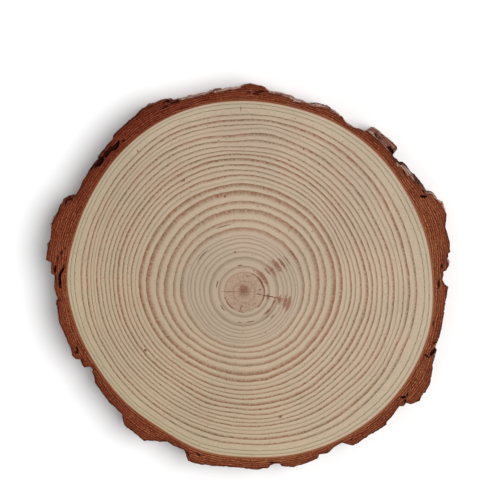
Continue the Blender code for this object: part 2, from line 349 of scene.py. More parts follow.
def lattice_noise(around, up, cells, seed):
    """Smooth random values from -1 to 1 on a lattice that closes round the trunk.

    around runs from 0 to 1 once round, up from 0 to 1 from the first cell to the last, and cells
    is the number of cells each way. Values between lattice points are blended smoothly.
    """
    count_around, count_up = cells
    rng = np.random.default_rng(seed)
    lattice = rng.uniform(-1.0, 1.0, (count_around, count_up + 2))
    place_around = (around % 1.0) * count_around
    place_up = np.clip(up, 0.0, 1.0) * count_up
    column = place_around.astype(int) % count_around
    row = np.minimum(place_up.astype(int), count_up)
    share_around = ease(place_around - np.floor(place_around), 0.0, 1.0)
    share_up = ease(place_up - row, 0.0, 1.0)
    beside = (column + 1) % count_around
    low = lattice[column, row] * (1 - share_around) + lattice[beside, row] * share_around
    high = lattice[column, row + 1] * (1 - share_around) + lattice[beside, row + 1] * share_around
    return low * (1 - share_up) + high * share_up


def layered_noise(around, up, cells, seed, layers=3):
    """Sum of lattice noises, each with twice the cells and half the height of the one before."""
    total = 0.0
    for layer in range(layers):
        finer = (cells[0] * 2 ** layer, cells[1] * 2 ** layer)
        total = total + lattice_noise(around, up, finer, seed + layer) * 0.5 ** layer
    return total


def node_points(name):
    """The points of a CAD node, once each, in millimetres."""
    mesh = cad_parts[name].data
    points = np.empty(len(mesh.vertices) * 3, np.float32)
    mesh.vertices.foreach_get("co", points)
    return np.unique(np.round(points.reshape(-1, 3) / MM, 3), axis=0)


def polar(points, centre):
    """Azimuth and distance of points about a centre, in order of azimuth."""
    offset = points[:, :2] - centre
    azimuth = np.degrees(np.arctan2(offset[:, 1], offset[:, 0])) % TURN
    order = np.argsort(azimuth)
    return azimuth[order], np.hypot(*offset.T)[order]


def wood_radius(azimuth, centre):
    """Distance from a centre to the wood's outline, read from the CAD node's upper face."""
    points = node_points("wood")
    upper = points[points[:, 2] > THICKNESS / 2]
    return np.interp(azimuth, *polar(upper, centre), period=TURN)


class BarkWall:
    """The outer side of the CAD bark: one closed outline at each of its heights."""

    def __init__(self):
        points = node_points("bark")
        self.heights = np.unique(points[:, 2])
        self.outlines = []
        for height in self.heights:
            azimuth, distance = polar(points[points[:, 2] == height], TRUNK_CENTRE)
            outside = distance > wood_radius(azimuth, TRUNK_CENTRE) + LEAST_CAD_BARK
            self.outlines.append((azimuth[outside], distance[outside]))

    def radius(self, azimuth, height):
        """Distance from the trunk's centre, in a straight blend between two heights."""
        rings = np.array([np.interp(azimuth, *outline, period=TURN) for outline in self.outlines])
        above = np.clip(np.searchsorted(self.heights, height), 1, len(self.heights) - 1)
        low = self.heights[above - 1]
        share = (height - low) / (self.heights[above] - low)
        column = np.broadcast_to(np.arange(azimuth.shape[-1]), height.shape)
        return rings[above - 1, column] * (1 - share) + rings[above, column] * share


def closed_grid(number, joined_rows=True):
    """Quads of a grid that closes round its columns, and round its rows too where joined."""
    here = number if joined_rows else number[:-1]
    beyond = np.roll(number, -1, axis=0) if joined_rows else number[1:]
    return np.stack([here, np.roll(here, -1, axis=1), np.roll(beyond, -1, axis=1), beyond],
                    axis=2).reshape(-1, 4)


def new_piece(name, points, faces, attributes, node_name, material):
    """A mesh object from arrays in millimetres that stands for a CAD node and rides with it."""
    mesh = bpy.data.meshes.new(name)
    mesh.from_pydata((points * MM).tolist(), [], faces)
    for key, values in attributes.items():
        layer = mesh.attributes.new(key, "FLOAT", "POINT")
        layer.data.foreach_set("value", np.asarray(values, np.float32).ravel())
    mesh.shade_smooth()
    mesh.set_sharp_from_angle(angle=SHARP_ANGLE)
    mesh.materials.append(material)
    piece = bpy.data.objects.new(name, mesh)
    bpy.context.scene.collection.objects.link(piece)
    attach(piece, "root")
    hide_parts(node_name)
    return piece


def ring_radii(azimuth):
    """Distance from the pith to the end of each ring, one row a ring, first row the pith.

    Each ring lies at a share of the way between two growth fronts. Small waves that drift from
    ring to ring are added, then bumps that fall off like a bell with azimuth and with the year,
    and one fold.
    """
    fronts = [(0, np.zeros_like(azimuth))]
    fronts += [(year, periodic_curve(radii, azimuth)) for year, radii in GROWTH_FRONTS]
    edge = wood_radius(azimuth, PITH)
    fronts.append((YEARS, edge))
    rows = [np.zeros_like(azimuth)]
    around = azimuth / TURN
    fold_azimuth, fold_width, fold_reach, fold_height = RING_FOLD
    across = signed_turn(azimuth - fold_azimuth) / fold_width
    for year, (share, *_) in enumerate(RINGS, start=1):
        outer = next(index for index, front in enumerate(fronts) if front[0] >= year)
        radius = fronts[outer - 1][1] * (1 - share) + fronts[outer][1] * share
        slow = layered_noise(around, year / YEARS, (24, 9), 11)
        quick = layered_noise(around, year / YEARS, (110, 30), 21, 2)
        settle = ease(edge - radius, 0.0, 1.5) * ease(radius, 2.0, 8.0)
        calm = 0.3 + 0.7 * ease(radius, 5.0, 20.0)
        mean = radius.mean()
        folded = ease(mean, fold_reach[0], fold_reach[0] + 3) * (
            1 - ease(mean, fold_reach[1] - 3, fold_reach[1]))
        kink = fold_height * folded * across * np.exp(-across ** 2)
        shift = calm * (RING_WAVES[0] * slow + RING_WAVES[1] * quick) + kink
        for middle, width, peak, span, height in RING_BUMPS:
            off = signed_turn(azimuth - middle) / width
            shift = shift + height * np.exp(-off ** 2 - ((year - peak) / span) ** 2)
        rows.append(radius + settle * shift)
    return np.array(rows)


def wood_surface(ridge):
    """Points, faces and the year at each point of the wood: both sawn faces and the side.

    The grid runs along the radius by shares of each year's ring, and round the pith by azimuth.
    The late wood, the last part of a ring, stands proud by its ridge. Each face ends in a pole
    at the pith, where it is a little hollow.
    """
    azimuth = np.arange(WOOD_COLUMNS) * TURN / WOOD_COLUMNS
    rings = ring_radii(azimuth)
    late_share = np.array([0.0] + [row[1] for row in RINGS])
    strength = np.array([0.0] + [row[2] for row in RINGS])

    def face_rows(shares, height, facing):
        years = list(PITH_ROWS) + [year + share for year in range(1, YEARS) for share in shares]
        years = np.array(years + [YEARS - 0.08, YEARS])
        ring = np.minimum(years.astype(int), YEARS - 1)
        part = years - ring
        radius = rings[ring] * (1 - part)[:, None] + rings[ring + 1] * part[:, None]
        share = late_share[ring + 1]
        late = ease(part, 1 - share, 1.0) * (part < 1.0) * strength[ring + 1]
        late[-1] = 0.0
        hollow = PITH_HOLLOW * (1.0 - ease(radius, *PITH_SLOPE))
        level = height + facing * (ridge / MM * late[:, None] - hollow)
        return radius, level, np.broadcast_to(years[:, None], radius.shape)

    upper = face_rows(UPPER_ROWS, THICKNESS, 1.0)
    lower = face_rows(LOWER_ROWS, 0.0, -1.0)
    radius, height, year = (np.vstack([above, below[::-1]]) for above, below in zip(upper, lower))
    height = np.clip(height, 0.0, THICKNESS)
    turn = np.radians(azimuth)
    points = np.stack([PITH[0] + radius * np.cos(turn), PITH[1] + radius * np.sin(turn), height],
                      axis=2).reshape(-1, 3)
    number = np.arange(radius.size).reshape(radius.shape)
    faces = closed_grid(number[::-1], joined_rows=False).tolist()
    poles = np.array([[*PITH, THICKNESS - POLE_HOLLOW], [*PITH, POLE_HOLLOW]])
    top, bottom = len(points), len(points) + 1
    for pole, rim, step in ((top, number[0], 1), (bottom, number[-1], -1)):
        ring = rim[::step]
        faces += np.stack([np.full_like(ring, pole), ring, np.roll(ring, -1)], axis=1).tolist()
    points = np.vstack([points, poles])
    return points, faces, {"year": np.append(year.ravel(), (0.0, 0.0))}


def bark_pits(x, y, ragged):
    """Depth of the pits and cracks at points about the trunk's centre: ragged turned ellipses."""
    depth = np.zeros_like(x)
    for azimuth, distance, half_round, half_out, turned, deep in BARK_PITS:
        turn = math.radians(azimuth)
        out = x * math.cos(turn) + y * math.sin(turn) - distance
        across = y * math.cos(turn) - x * math.sin(turn)
        lean = math.radians(turned)
        long = (across * math.cos(lean) + out * math.sin(lean)) / half_round
        wide = (out * math.cos(lean) - across * math.sin(lean)) / half_out
        depth = np.maximum(depth, deep * (1 - ease(long ** 2 + wide ** 2 + ragged, 0.45, 1.25)))
    return depth


def wall_relief(around, up, step):
    """Scales and cracks of the outer side, in millimetres, with masks for their colours and for the
    painted shade in the cracks and at the scale edges.

    Layered noise is cut into even steps with steep edges, like the rims of thin scales. Narrow
    upright cracks follow where another noise changes sign. The masks are the scale's layer from
    0 to 1, the cracks, and the edges of the scales.
    """
    drift = 0.012 * lattice_noise(around, up, (40, 2), 51)
    field = layered_noise(around + drift, up, (84, 2), 61, 4) * 2.8 + SCALE_LAYERS / 2
    level = np.floor(field)
    part = field - level
    layer = level + ease(part, 0.78, 0.98)
    edge = ease(part, 0.62, 0.80) * (1 - ease(part, 0.90, 1.0))
    crack_field = layered_noise(around + 0.4 * drift, up, (58, 1), 71, 2)
    crack = 1 - ease(np.abs(crack_field), 0.015, 0.11)
    fine = layered_noise(around, up, (700, 20), 81, 2)
    relief = step * (layer - 4.0) - CRACK_DEPTH * crack + SIDE_ROUGHNESS * fine
    return relief, np.clip(layer / SCALE_LAYERS, 0.0, 1.0), crack, edge


def worn_edge(azimuth):
    """How far in the upper edge is worn: the listed stretches, each with a soft start and end."""
    wear = np.zeros_like(azimuth)
    for first, last, reach in WORN_EDGES:
        stretch = ease(azimuth, first, first + 3) * (1 - ease(azimuth, last - 3, last))
        wear = np.maximum(wear, reach * stretch)
    return wear


def bark_surface(scale_step):
    """Points, faces and attributes of the bark: a closed profile carried round the trunk.

    The profile runs from the wood's edge out over the cut face, down the outer side, which
    follows the CAD outlines with scales added, and back under the lower cut face.
    """
    azimuth = np.arange(BARK_COLUMNS) * TURN / BARK_COLUMNS
    around = azimuth / TURN
    inner = wood_radius(azimuth, TRUNK_CENTRE) + WOOD_GAP

    # Outer side: the CAD outlines, with scales and cracks that fade towards the cut faces.
    wall_height = np.linspace(THICKNESS, 0.0, WALL_ROWS)[:, None]
    height_grid = np.broadcast_to(wall_height, (WALL_ROWS, BARK_COLUMNS))
    around_grid = np.broadcast_to(around, height_grid.shape)
    cad_radius = BarkWall().radius(azimuth, height_grid)
    relief, layer, crack, edge = wall_relief(around_grid, height_grid / THICKNESS, scale_step / MM)
    near_cut = 1 - ease(np.minimum(THICKNESS - height_grid, height_grid), 0.0, SCALE_FADE)
    outer = np.maximum(cad_radius + relief * (1 - 0.7 * near_cut), inner + LEAST_BARK)

    # The whole profile: cut face, outer side and underside.
    cut_share = np.linspace(0.0, 1.0, CUT_ROWS + 1)[:-1, None]
    cut_radius = inner + (outer[0] - inner) * cut_share
    under_share = np.linspace(1.0, 0.0, UNDER_ROWS + 1)[1:, None]
    under_radius = inner + (outer[-1] - inner) * under_share
    radius = np.vstack([cut_radius, outer, under_radius])
    height = np.vstack([
        np.full_like(cut_radius, THICKNESS), height_grid, np.zeros_like(under_radius)])
    turn = np.radians(azimuth)
    x = radius * np.cos(turn)
    y = radius * np.sin(turn)
    depth = radius - inner
    rows = np.arange(len(radius))[:, None]
    on_cut = (rows <= CUT_ROWS) * np.ones_like(radius)
    on_under = (rows >= CUT_ROWS + WALL_ROWS - 1) * np.ones_like(radius)
    rim = np.where(on_cut > 0, outer[0] - radius, np.where(on_under > 0, outer[-1] - radius, 0.0))

    # Ledges, where a low scale runs nearly level under the cut face, and pits in both.
    rows_down = np.gradient(cad_radius, axis=0) * ((WALL_ROWS - 1) / THICKNESS)
    ledge = ease(rows_down, *LEDGE_SLOPE) * ease(height_grid, *LEDGE_HEIGHT)
    side = slice(CUT_ROWS, CUT_ROWS + WALL_ROWS)
    pitted = on_cut.copy()
    pitted[side] = np.maximum(pitted[side], ledge)
    place = (around + 0 * radius, np.clip(depth / LARGEST_DEPTH, 0, 1))
    pits = bark_pits(x, y, 0.6 * layered_noise(*place, (340, 22), 93, 2)) * pitted
    pits[CUT_ROWS] *= 0.6

    # The upper edge, worn back to the pale outer scales or chipped, and the roughness of the cut.
    wear = worn_edge(azimuth)
    bleached = np.clip(wear, 0.0, 1.0) * ease(height_grid, 1.5, 6.0)
    layer = layer * (1 - bleached) + BLEACHED * bleached
    crack, edge = (mask * (1 - ledge) * (1 - 0.8 * bleached) for mask in (crack, edge))
    wear = wear * ease(layered_noise(around, 0.5, (90, 1), 99, 3), -1.1, 0.1)
    worn = (1 - ease(rim, 0.35 * wear, wear + 0.02)) * on_cut * (wear > 0.05)
    chips = ease(layered_noise(around, 0.5, (150, 1), 97, 3), 0.15, 0.7)
    chipped = CHIP_DEPTH * chips * (1 - ease(rim, 0.0, 0.9)) * on_cut
    rough = layered_noise(*place, (500, 16), 91, 2)
    rough = ease(depth, 0.0, 0.5) * np.abs(CUT_ROUGHNESS * rough)
    height = height - on_cut * rough - pits - chipped - WORN_DEPTH * worn * wear
    height = np.clip(height + on_under * rough, 0.0, THICKNESS)

    points = np.stack([TRUNK_CENTRE[0] + x, TRUNK_CENTRE[1] + y, height], axis=2).reshape(-1, 3)
    number = np.arange(radius.size).reshape(radius.shape)
    faces = closed_grid(number[::-1]).tolist()

    def whole(side_values, below):
        """One value for each point: none on the cut face, the side's, and one for below."""
        return np.vstack([np.zeros_like(cut_radius), side_values,
                          np.broadcast_to(below, under_radius.shape)])

    # The layers follow the wood's edge inside and the outer side outside.
    reach = BARK_COLUMNS // 60
    thickness = sum(np.roll(outer[0] - inner, step) for step in range(-reach, reach + 1))
    attributes = {
        "tone": periodic_curve(BARK_TONES, azimuth) + 0 * depth,
        "depth": depth,
        "sheet": depth - 0.35 * (thickness / (2 * reach + 1)),
        "rim": rim,
        "pit": np.clip(pits / FULL_SHADE_PIT_DEPTH, 0, 2),
        "layer": whole(layer, layer[-1]) + 1.0 * worn,
        "crack": whole(crack, 0.0),
        "edge": whole(edge, 0.0),
        "ledge": whole(ledge, 0.0),
        "cut": np.maximum(on_cut, on_under) - worn,
    }
    return points, faces, attributes


def add_node(tree, kind, inputs=None, **settings):
    """New shader node. Each input is a plain value, or a Field to link."""
    made = tree.nodes.new(kind)
    for name, value in settings.items():
        setattr(made, name, value)
    for key, value in (inputs or {}).items():
        if isinstance(value, Field):
            tree.links.new(value.socket, made.inputs[key])
        else:
            made.inputs[key].default_value = value
    return made


def fields_of(tree, node):
    """All outputs of a node by name."""
    return {socket.name: Field(tree, socket) for socket in node.outputs}


class Field:
    """An output of a shader node. Its operators and methods add a node that takes it in."""

    def __init__(self, tree, socket):
        self.tree = tree
        self.socket = socket

    def node(self, kind, inputs, output=0, **settings):
        """One output of a new node in the same tree."""
        return Field(self.tree, add_node(self.tree, kind, inputs, **settings).outputs[output])

    def maths(self, operation, *others, clamp=False):
        """Math node on this value and others."""
        return self.node("ShaderNodeMath", dict(enumerate((self, *others))),
                         operation=operation, use_clamp=clamp)

    def __add__(self, other):
        return self.maths("ADD", other)

    def __sub__(self, other):
        return self.maths("SUBTRACT", other)

    def __mul__(self, other):
        return self.maths("MULTIPLY", other)

    def __truediv__(self, other):
        return self.maths("DIVIDE", other)

    def __rsub__(self, number):
        return self.node("ShaderNodeMath", {0: number, 1: self}, operation="SUBTRACT")

    def __rtruediv__(self, number):
        return self.node("ShaderNodeMath", {0: number, 1: self}, operation="DIVIDE")

    def scaled(self, factor, plus):
        """This value times a factor, plus another value, in one node."""
        return self.maths("MULTIPLY_ADD", factor, plus)

    def most(self, other):
        """The larger of two values."""
        return self.maths("MAXIMUM", other)

    def size(self):
        """The value without its sign."""
        return self.maths("ABSOLUTE")

    def eased(self, low, high, to_low=0.0, to_high=1.0):
        """Smooth way from one level to another as the value goes from low to high."""
        return self.node("ShaderNodeMapRange", {
            "Value": self, "From Min": low, "From Max": high, "To Min": to_low,
            "To Max": to_high}, interpolation_type="SMOOTHSTEP")

    def vector(self, operation, *others):
        """Vector Math node on this vector and others."""
        return self.node("ShaderNodeVectorMath", dict(enumerate((self, *others))),
                         operation=operation)

    def grown(self, scale):
        """This vector times a number."""
        return self.node("ShaderNodeVectorMath", {0: self, "Scale": scale}, operation="SCALE")

    def length(self):
        """Length of this vector."""
        return self.node("ShaderNodeVectorMath", {0: self}, 1, operation="LENGTH")

    def upward(self):
        """Vector along Z of this length."""
        return self.node("ShaderNodeCombineXYZ", {2: self})

    def split(self, kind="XYZ"):
        """The three parts of a vector or, with Color as the kind, of a colour."""
        return list(fields_of(self.tree, add_node(
            self.tree, "ShaderNodeSeparate" + kind, {0: self})).values())

    def noise(self, scale, detail=2.0, roughness=0.5, distortion=0.0, output=0):
        """Noise Texture at this place."""
        return self.node("ShaderNodeTexNoise", {
            "Vector": self, "Scale": scale, "Detail": detail, "Roughness": roughness,
            "Distortion": distortion}, output)

    def cells(self, scale, **settings):
        """Outputs of a Voronoi Texture at this place."""
        return fields_of(self.tree, add_node(self.tree, "ShaderNodeTexVoronoi", {
            "Vector": self, "Scale": scale}, **settings))

    def ramp(self, stops, interpolation="LINEAR"):
        """Colour Ramp with the given stops, each a place and a colour."""
        made = add_node(self.tree, "ShaderNodeValToRGB", {"Fac": self})
        made.color_ramp.interpolation = interpolation
        elements = made.color_ramp.elements
        elements[0].position, elements[0].color = stops[0]
        elements[1].position, elements[1].color = stops[-1]
        for place, colour in stops[1:-1]:
            elements.new(place).color = colour
        return Field(self.tree, made.outputs[0])

    def between(self, first, second):
        """Colour that goes from the first to the second as this value goes from 0 to 1."""
        return self.node("ShaderNodeMix", {0: self, 6: first, 7: second}, 2, data_type="RGBA")

    def tinted(self, *parts):
        """This colour times another that is given by its red, green and blue."""
        other = self.node("ShaderNodeCombineColor", dict(enumerate(parts)))
        return self.node("ShaderNodeMix", {0: 1.0, 6: self, 7: other}, 2, data_type="RGBA",
                         blend_type="MULTIPLY")

    def feeds(self, target):
        """Links this value to an input."""
        self.tree.links.new(self.socket, target)


def attribute(tree, name):
    """Value of a point attribute."""
    return fields_of(tree, add_node(tree, "ShaderNodeAttribute", attribute_name=name))["Fac"]


def new_group(name, inputs, outputs):
    """Empty shader node group with named sockets: its tree, its inputs and its outputs' ends."""
    group = bpy.data.node_groups.new(name, "ShaderNodeTree")
    for direction, sockets in (("INPUT", inputs), ("OUTPUT", outputs)):
        for socket_name, kind, default in sockets:
            socket = group.interface.new_socket(
                socket_name, in_out=direction, socket_type="NodeSocket" + kind)
            if default is not None:
                socket.default_value = default
    start = group.nodes.new("NodeGroupInput")
    end = group.nodes.new("NodeGroupOutput")
    return group, [Field(group, socket) for socket in start.outputs], end.inputs


def use_group(tree, group, inputs):
    """Places a node group in a material and returns its outputs by name."""
    return fields_of(tree, add_node(tree, "ShaderNodeGroup", inputs, node_tree=group))


def trunk_grain_group():
    """Group that gives the grain of anything grown round an axis.

    It scales the position to millimetres from the axis, and mixes noise stretched along the
    radius (rays), noise stretched round the trunk (layers) and an even fine noise (pores). Polar
    holds the azimuth in radians, counted from POLAR_START, and the distance.
    """
    group, (centre, ray_count, spacing, length, _), result = new_group("trunk_grain", (
        ("Centre", "Vector", (0.0, 0.0, 0.0)), ("Ray Count", "Float", 60.0),
        ("Layer Spacing", "Float", 0.5), ("Layer Length", "Float", 3.0),
    ), (
        ("Position", "Vector", None), ("Distance", "Float", None), ("Direction", "Vector", None),
        ("Rays", "Float", None), ("Layers", "Float", None), ("Pores", "Float", None),
        ("Polar", "Vector", None),
    ))
    place = fields_of(group, add_node(group, "ShaderNodeTexCoord"))["Object"]
    position = place.vector("SUBTRACT", centre).grown(1.0 / MM)
    flat = position.vector("MULTIPLY", (1.0, 1.0, 0.0))
    distance = flat.length()
    direction = flat.vector("NORMALIZE")
    along = (distance * 0.5 + position.split()[2] * 0.05).upward()
    rays = direction.grown(ray_count).vector("ADD", along).noise(1.0, 3.0, 0.6)
    out = (distance / spacing).upward()
    tangential = direction.grown(LAYER_TURN / length)
    layers = tangential.vector("ADD", out).noise(1.0, 2.5, 0.55, 0.25)
    pores = position.noise(3.6, 3.0, 0.6)
    turned = flat.node("ShaderNodeVectorRotate", {
        "Vector": flat, "Angle": -math.radians(POLAR_START)}, rotation_type="Z_AXIS").split()
    angle = turned[1].maths("ARCTAN2", turned[0])
    polar_place = angle.node("ShaderNodeCombineXYZ", {0: angle, 1: distance})
    fields = (position, distance, direction, rays, layers, pores, polar_place)
    for field, target in zip(fields, result):
        field.feeds(target)
    return group


def marks_group(name, rows, edge):
    """Group that gives 1 inside any of the listed marks and 0 outside, with soft edges.

    Each mark is an ellipse in azimuth and distance, so that it bends with the rings.
    """
    group, (polar_place, raggedness, _), result = new_group(
        name, (("Polar", "Vector", (0.0, 0.0, 0.0)), ("Raggedness", "Float", 0.0)),
        (("Mask", "Float", None),))
    nearest = None
    for azimuth, distance, half_round, half_out in rows:
        angle = math.radians(signed_turn(azimuth - POLAR_START))
        reach = polar_place.node("ShaderNodeMapping", {
            "Vector": polar_place, "Location": (angle, distance, 0.0),
            "Scale": (half_round / distance, half_out, 1.0)}, vector_type="TEXTURE").length()
        nearest = reach if nearest is None else nearest.maths("MINIMUM", reach)
    (nearest + raggedness).eased(MARK_REACH + edge, MARK_REACH - edge).feeds(result[0])
    return group


def new_material(name, roughness, specular):
    """Material with an empty tree but for its Principled shader and output."""
    material = bpy.data.materials.new(name)
    material.use_nodes = True
    tree = material.node_tree
    shader = tree.nodes["Principled BSDF"]
    shader.inputs["Roughness"].default_value = roughness
    shader.inputs["Specular IOR Level"].default_value = specular
    return material, tree, shader


def bump_from(relief, shader, strength, distance):
    """Turns a height in units of the distance into the shader's normal."""
    relief.node("ShaderNodeBump", {
        "Height": relief, "Strength": strength, "Distance": distance * MM,
    }).feeds(shader.inputs["Normal"])


def sawn_wood_material(looks, grain):
    """Pine sawn across: each year's ring pales from its start and darkens to a sharp late edge.

    The ring and the place in it come from the year at each point. Rays, pores, specks and red
    stains are laid over the rings, and painted light makes the face lighter towards the right and
    darker towards the left.
    """
    material, tree, shader = new_material("sawn_pine", 0.6, 0.3)
    fibre = use_group(tree, grain, {
        "Centre": (PITH[0] * MM, PITH[1] * MM, 0.0), "Ray Count": 75.0,
        "Layer Spacing": 0.35, "Layer Length": 2.5})
    rays, pores, layers = fibre["Rays"], fibre["Pores"], fibre["Layers"]
    position, distance = fibre["Position"], fibre["Distance"]

    # Rings: the place in the year wavers with the grain, and a ramp holds each year's row.
    tremble = rays.scaled(0.16, -0.08) + position.noise(0.6, 2.5, 0.6).scaled(0.16, -0.08)
    calm = distance.eased(3.0, 18.0, 0.4, 1.0)
    place = tremble.scaled(calm, attribute(tree, "year")).most(0.0)
    part = place.maths("FRACT")
    rows = [(index / YEARS, (late, share, red, 1.0))
            for index, (_, share, late, red) in enumerate(RINGS)]
    ring = (place.maths("FLOOR") + 0.5) / float(YEARS)
    strength, share, redness = ring.ramp(rows, "CONSTANT").split("Color")
    rise = ((part - (1.0 - share)) / share).eased(0.0, 0.85) * part.eased(1.0, 0.95)
    uneven = layers.eased(0.25, 0.75, 0.8, 1.2) * rays.eased(0.35, 0.65, 0.62, 1.15)
    late = (rise * strength).maths("MULTIPLY", uneven, clamp=True)
    inner, outer = tuple(looks.early_inner), tuple(looks.early_outer)
    early = (place / float(YEARS)).ramp((
        (0.0, (0.395, 0.272, 0.192, 1.0)), (0.032, (0.40, 0.278, 0.195, 1.0)), (0.04, inner),
        (0.26, inner), (0.30, outer), (0.90, outer), (0.96, (0.44, 0.36, 0.25, 1.0)),
        (0.985, (0.46, 0.34, 0.24, 1.0)), (1.0, (0.40, 0.26, 0.17, 1.0)),
    ))
    resin = position.noise(0.09, 2.5, 0.6).eased(0.38, 0.62)
    redness = redness.maths("ADD", resin.scaled(0.7, -0.3), clamp=True)
    late_colour = redness.between(tuple(looks.late_olive), tuple(looks.late_red))
    colour = late.between(early, late_colour)

    # Uneven tone along the rays, from pore to pore and in clouds, with painted light across the
    # whole face: lighter towards the right, darker towards the left.
    right, back, high = position.split()
    grain_and_painted_light = rays.eased(0.3, 0.7, 0.955, 1.03) * pores.eased(0.3, 0.75, 0.93, 1.05)
    grain_and_painted_light = grain_and_painted_light * position.noise(0.06).eased(0.3, 0.7, 0.955, 1.04)
    # Painted light: the face is made lighter towards the right and darker towards the left.
    grain_and_painted_light = grain_and_painted_light * layers.eased(0.3, 0.7, 0.96, 1.03) * right.eased(-48.0, 48.0, 0.94, 1.03)
    yellowed = grain_and_painted_light * (right + back).eased(-64.0, 42.0, 0.93, 1.01)
    colour = colour.tinted(grain_and_painted_light, grain_and_painted_light, yellowed)

    # Stains and marks that are placed one by one, on the upper face only.
    ragged = layers.scaled(3.0, -1.5) + pores.scaled(3.0, -1.5)
    upper = high.eased(0.4 * THICKNESS, 0.8 * THICKNESS)
    stains, marks = (use_group(tree, marks_group(name, rows, edge), {
        "Polar": fibre["Polar"], "Raggedness": ragged * raggedness})["Mask"] * upper
        for name, rows, edge, raggedness in (
            ("red_stains", RED_STAINS, 0.3, 0.8), ("dark_marks", DARK_MARKS, 0.25, 0.45)))
    strokes = rays.eased(0.42, 0.55, 0.55, 1.0) * layers.eased(0.38, 0.56, 0.72, 1.0)
    colour = (stains * strokes).between(colour, (0.185, 0.050, 0.019, 1.0))

    # Pith: a ragged core with spokes and dots round it, and the broken line of its first ring.
    spokes_at = fibre["Direction"].grown(7.0).vector("ADD", (distance * 0.7).upward())
    spokes = spokes_at.noise(1.0, 1.5)
    spoke = (spokes - 0.5).size().eased(0.07, 0.0) * distance.eased(5.3, 4.6)
    star = spokes.scaled(3.5, -1.75) + pores.scaled(7.5, -3.75)
    core = position.vector("MULTIPLY_ADD", (1.0, 1.0, 0.0), (0.13, -0.48, 0.0)).length()
    pith = (core + star).eased(1.6, 1.0) * pores.eased(0.38, 0.54, 0.45, 1.0)
    colour = pith.between(colour, (0.19, 0.058, 0.030, 1.0))
    dots = pores.eased(0.52, 0.62) * distance.eased(2.4, 0.9)
    first_ring = (distance - 2.95).size().eased(0.3, 0.08) * pores.eased(0.46, 0.6)
    canals = position.cells(0.42, voronoi_dimensions="2D")
    kept = canals["Color"].split("Color")[0]
    canal = canals["Distance"].eased(0.085, 0.045) * kept.eased(0.55, 0.95, 0.0, 0.55)
    faint = (first_ring * 0.7).most(spoke * 0.4).most(dots * 0.8).most(canal)
    dark = (marks * 0.84).most(faint)
    dark.between(colour, (0.115, 0.037, 0.019, 1.0)).feeds(shader.inputs["Base Color"])

    late.scaled(-0.12, 0.64).feeds(shader.inputs["Roughness"])
    bump_from(pores.scaled(0.6, late.scaled(0.5, rays * 0.5)), shader, 0.2, 0.1)
    return material


